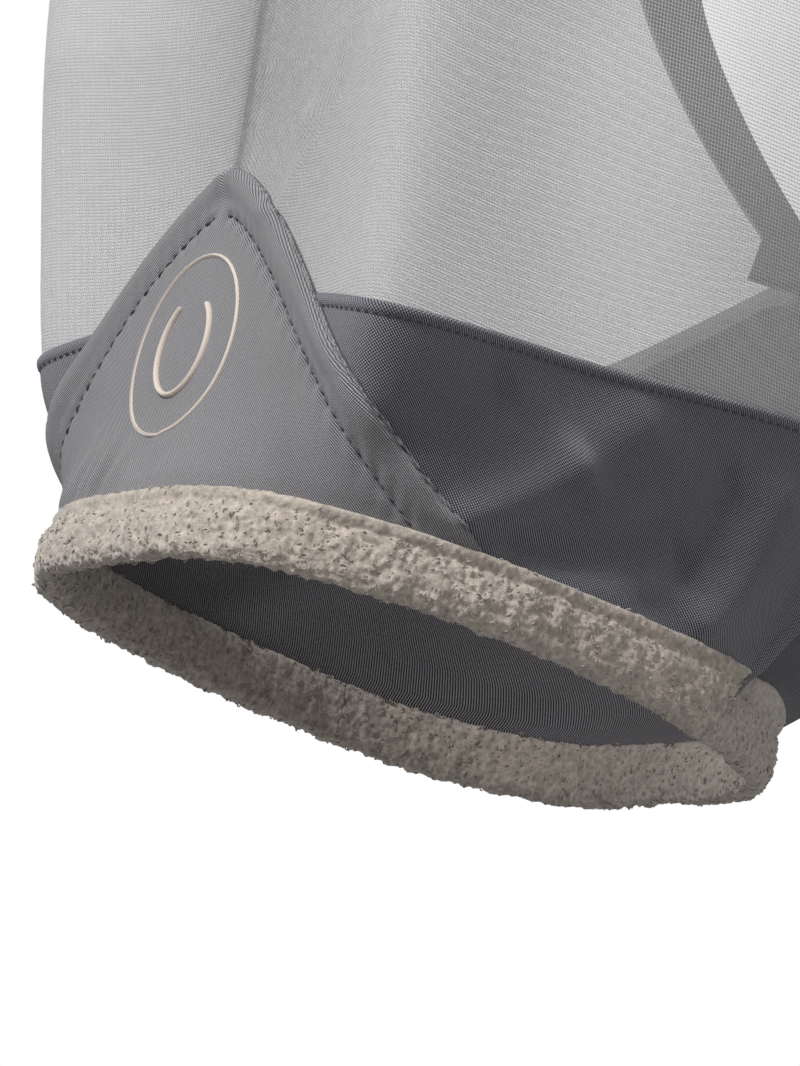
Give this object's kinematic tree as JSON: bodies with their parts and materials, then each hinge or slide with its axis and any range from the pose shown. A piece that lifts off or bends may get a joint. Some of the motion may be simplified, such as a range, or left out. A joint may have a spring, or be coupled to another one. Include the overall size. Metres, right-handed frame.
{
  "type": "horse fly mask",
  "caption": "Horse fly mask of see-through net with ear openings, a stretch nose band, a peaked front patch, a fleece bound nose opening and two opening closures.",
  "frame": {"origin": "middle of the nose opening, in the plane of its edge, where the horse's nose comes out", "axes": "+Z along the mask from the nose opening to the poll, -Y out of the front of the face, +X to the horse's left side"},
  "size_m": [0.2674, 0.3425, 0.457],
  "materials": {
    "band_stitch_left": "matt thread",
    "band_stitch_right": "matt thread",
    "brow_band": "matt stretch knit",
    "brow_fleece": "curly pile",
    "crown_fleece": "curly pile",
    "crown_piece": "matt stretch knit",
    "flap_stitch": "matt thread",
    "fleece_binding_flap": "curly pile",
    "fleece_binding_front": "curly pile",
    "fleece_binding_underlap": "curly pile",
    "left_dart_tape": "matt stretch knit",
    "left_ear_binding": "matt stretch knit",
    "left_face_net": "open woven net",
    "left_rear_hem": "matt stretch knit",
    "middle_seam_tape": "matt knit",
    "motif_horseshoe": "satin embroidery thread",
    "motif_oval": "satin embroidery thread",
    "nose_band_left": "matt stretch knit",
    "nose_band_lining_left": "matt knit",
    "nose_band_lining_right": "matt knit",
    "nose_band_right": "matt stretch knit",
    "nose_flap": "matt stretch knit",
    "nose_flap_lining": "matt knit",
    "nose_hook_tape": "hook and loop pile",
    "nose_loop_tape": "hook and loop pile",
    "nose_patch": "fine twill",
    "patch_edge_cord": "matt thread",
    "patch_topstitch": "matt thread",
    "poll_bridge": "matt stretch knit",
    "right_dart_tape": "matt stretch knit",
    "right_ear_binding": "matt stretch knit",
    "right_face_net": "open woven net",
    "right_rear_hem": "matt stretch knit",
    "throat_flap": "matt stretch knit",
    "throat_hook_tape": "hook and loop pile",
    "throat_loop_tape": "hook and loop pile",
    "throat_strap_left": "matt stretch knit",
    "throat_strap_right": "matt stretch knit"
  },
  "bodies": {
    "mask": {"band_stitch_left": "band_stitch_left", "band_stitch_right": "band_stitch_right", "brow_band": "brow_band", "brow_fleece": "brow_fleece", "crown_fleece": "crown_fleece", "crown_piece": "crown_piece", "fleece_binding_front": "fleece_binding_front", "fleece_binding_underlap": "fleece_binding_underlap", "left_dart_tape": "left_dart_tape", "left_ear_binding": "left_ear_binding", "left_face_net": "left_face_net", "left_rear_hem": "left_rear_hem", "middle_seam_tape": "middle_seam_tape", "motif_horseshoe": "motif_horseshoe", "motif_oval": "motif_oval", "nose_band_left": "nose_band_left", "nose_band_lining_left": "nose_band_lining_left", "nose_band_lining_right": "nose_band_lining_right", "nose_band_right": "nose_band_right", "nose_loop_tape": "nose_loop_tape", "nose_patch": "nose_patch", "patch_edge_cord": "patch_edge_cord", "patch_topstitch": "patch_topstitch", "poll_bridge": "poll_bridge", "right_dart_tape": "right_dart_tape", "right_ear_binding": "right_ear_binding", "right_face_net": "right_face_net", "right_rear_hem": "right_rear_hem", "throat_loop_tape": "throat_loop_tape", "throat_strap_left": "throat_strap_left", "throat_strap_right": "throat_strap_right"},
    "nose_flap": {"nose_flap": "nose_flap", "nose_flap_lining": "nose_flap_lining", "fleece_binding_flap": "fleece_binding_flap", "nose_hook_tape": "nose_hook_tape", "flap_stitch": "flap_stitch"},
    "throat_flap": {"throat_flap": "throat_flap", "throat_hook_tape": "throat_hook_tape"}
  },
  "joints": [
    {"name": "nose_flap_fold", "type": "hinge", "parent": "mask", "child": "nose_flap", "pos_m": [0.0948, -0.0321, 0], "axis": [-0.1053, -0.5837, -0.8051], "range_deg": [0, 110]},
    {"name": "throat_flap_fold", "type": "hinge", "parent": "mask", "child": "throat_flap", "pos_m": [0.1277, 0.0871, 0.3171], "axis": [0.2633, -0.2421, -0.9338], "range_deg": [0, 110]}
  ]
}
